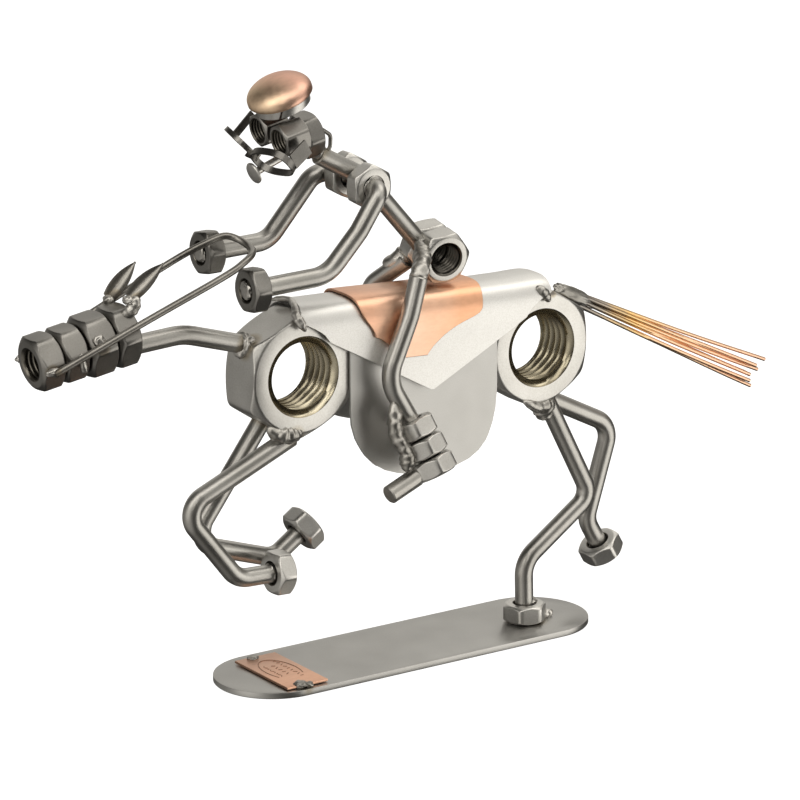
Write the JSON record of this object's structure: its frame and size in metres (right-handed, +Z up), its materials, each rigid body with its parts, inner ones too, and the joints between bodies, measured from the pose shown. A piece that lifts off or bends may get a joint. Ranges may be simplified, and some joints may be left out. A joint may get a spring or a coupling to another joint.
{
  "type": "scrap metal horse sculpture",
  "caption": "Galloping racehorse and jockey welded from hex nuts, bent round bar, folded steel sheet and copper wire, standing on an oval steel plate.",
  "frame": {"origin": "centre of the underside of the oval base plate", "axes": "+Z up, +X along the base plate towards the tail (the horse faces -X), +Y to the side away from the rider's deep saddle flap"},
  "size_m": [0.2823, 0.0527, 0.194],
  "materials": {
    "base_steel": "satin",
    "sheet_steel": "satin",
    "nut_steel": "satin, heat tinted near the welds",
    "bar_steel": "satin, heat tinted near the welds",
    "dark_steel": "oxide dark",
    "copper": "copper, satin, patchy heat tint"
  },
  "bodies": {
    "root": {"base_plate": "base_steel", "copper_label": "copper", "chest_nut": "nut_steel", "haunch_nut": "nut_steel", "body_sheet": "sheet_steel", "saddle_sheet": "sheet_steel", "copper_sheet": "copper", "near_fore_leg": "bar_steel", "far_fore_leg": "bar_steel", "near_hind_leg": "bar_steel", "far_hind_leg": "bar_steel", "near_fore_hoof": "nut_steel", "far_fore_hoof": "nut_steel", "near_hind_hoof": "nut_steel", "far_hind_hoof": "nut_steel", "muzzle_nut": "nut_steel", "nose_nut": "nut_steel", "cheek_nut": "nut_steel", "poll_nut": "nut_steel", "neck": "bar_steel", "near_ear": "dark_steel", "far_ear": "dark_steel", "reins": "dark_steel", "tail": "copper", "near_hip_nut": "nut_steel", "near_shoulder_nut": "nut_steel", "far_hip_nut": "nut_steel", "far_shoulder_nut": "nut_steel", "torso": "bar_steel", "neck_strap": "dark_steel", "head_back_nut": "nut_steel", "near_eye_nut": "nut_steel", "far_eye_nut": "nut_steel", "copper_cap": "copper", "spring_washer": "nut_steel", "nose_nail": "bar_steel", "spectacles": "sheet_steel", "near_arm": "bar_steel", "near_hand_nut": "nut_steel", "far_arm": "bar_steel", "far_hand_nut": "nut_steel", "near_leg": "bar_steel", "near_boot_nut_1": "nut_steel", "near_boot_nut_2": "nut_steel", "near_boot_nut_3": "nut_steel", "near_foot": "bar_steel", "far_leg": "bar_steel", "far_boot_nut_1": "nut_steel", "far_boot_nut_2": "nut_steel", "far_boot_nut_3": "nut_steel", "far_foot": "bar_steel"}
  },
  "joints": []
}
